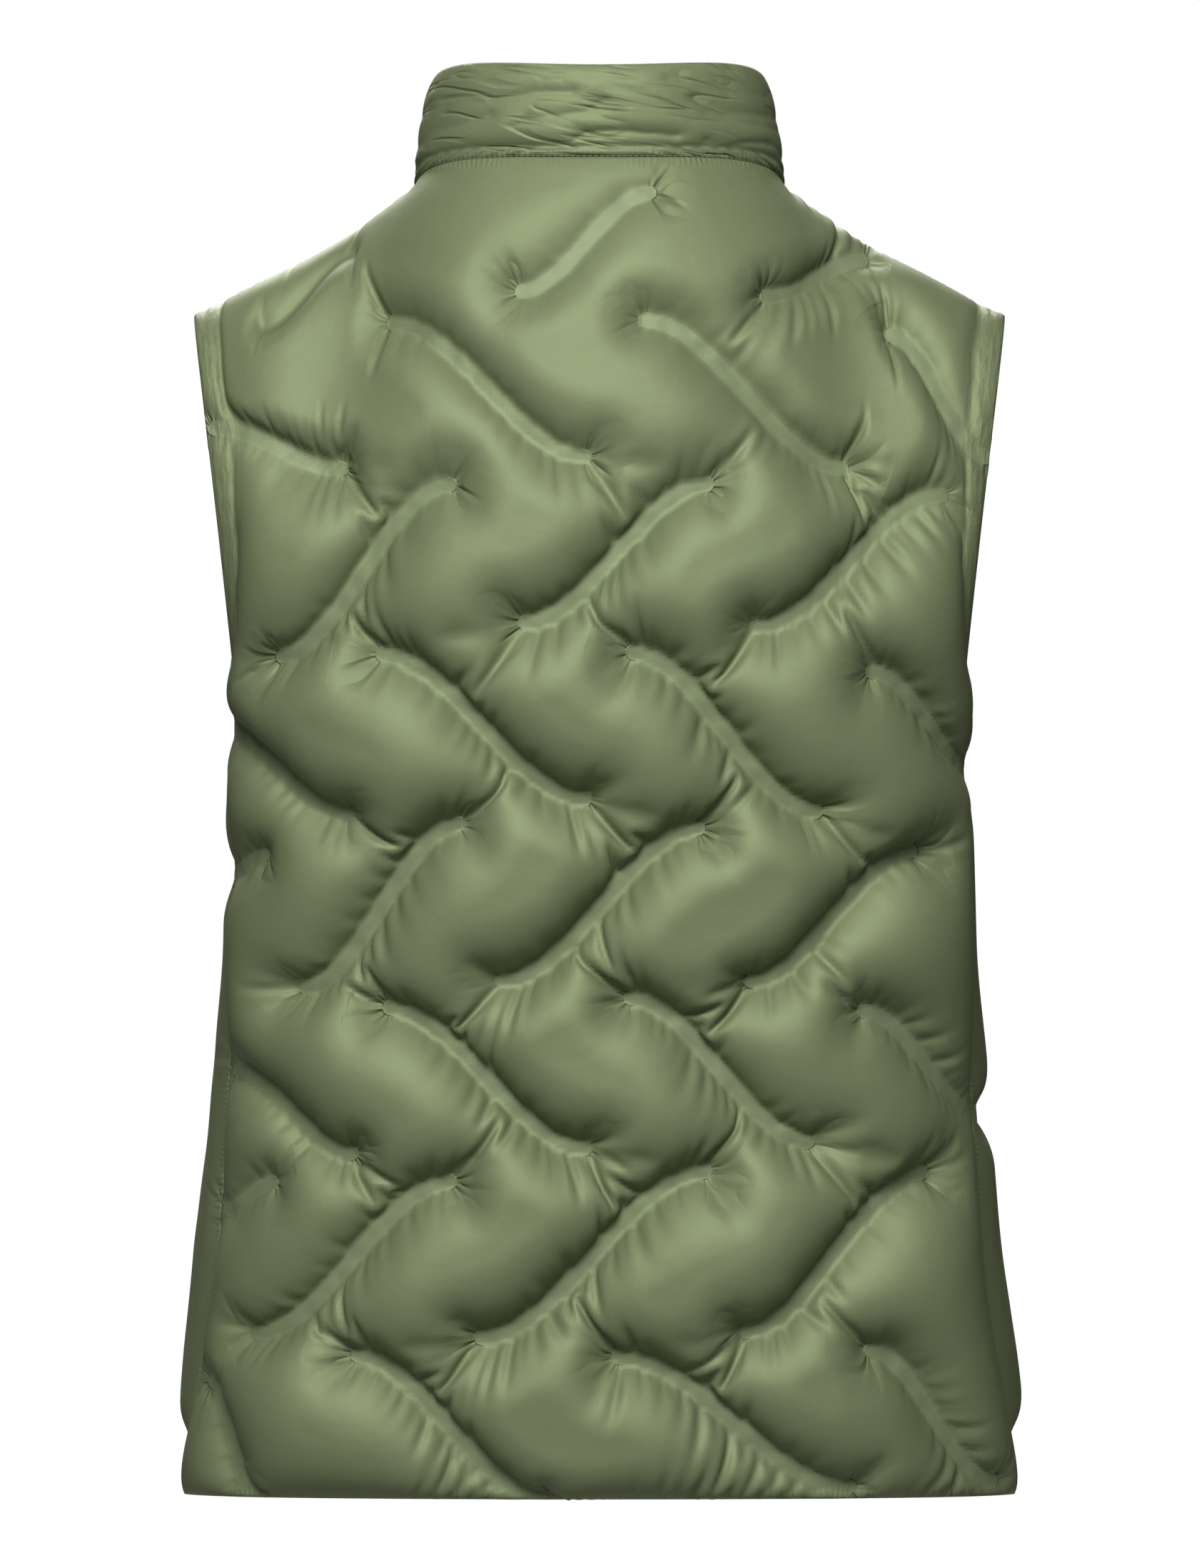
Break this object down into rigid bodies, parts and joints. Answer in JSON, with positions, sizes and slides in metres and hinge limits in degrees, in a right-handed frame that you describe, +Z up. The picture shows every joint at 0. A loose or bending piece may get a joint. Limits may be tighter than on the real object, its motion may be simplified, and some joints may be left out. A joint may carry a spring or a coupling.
{
  "type": "quilted puffer vest",
  "caption": "Sleeveless quilted puffer vest with a stand collar and a closed front zip, hollow and filled out as worn, with open neck, hem and armholes.",
  "frame": {"origin": "midway between the two neck points of the shoulders, where the wearer's shoulders carry the vest", "axes": "+Z up; the wearer faces -Y, so the back of the vest faces +Y; +X is the wearer's left"},
  "size_m": [0.4135, 0.248, 0.6958],
  "materials": {
    "shell_fabric": "satin sage green down-proof nylon, bonded quilting",
    "zip_tape": "woven polyester tape, dyed to match",
    "zip_metal": "dulled nickel plate"
  },
  "bodies": {
    "vest": {"back_panel": "shell_fabric", "front_left": "shell_fabric", "front_right": "shell_fabric", "collar": "shell_fabric", "zip_tape_left": "zip_tape", "zip_tape_right": "zip_tape", "zip_slider": "zip_metal"},
    "pull_tab": {"zip_pull": "zip_metal"}
  },
  "joints": [
    {"name": "pull_swing", "type": "hinge", "parent": "vest", "child": "pull_tab", "pos_m": [0, -0.0756, -0.0174], "axis": [-1, 0, 0], "range_deg": [0, 150]}
  ]
}
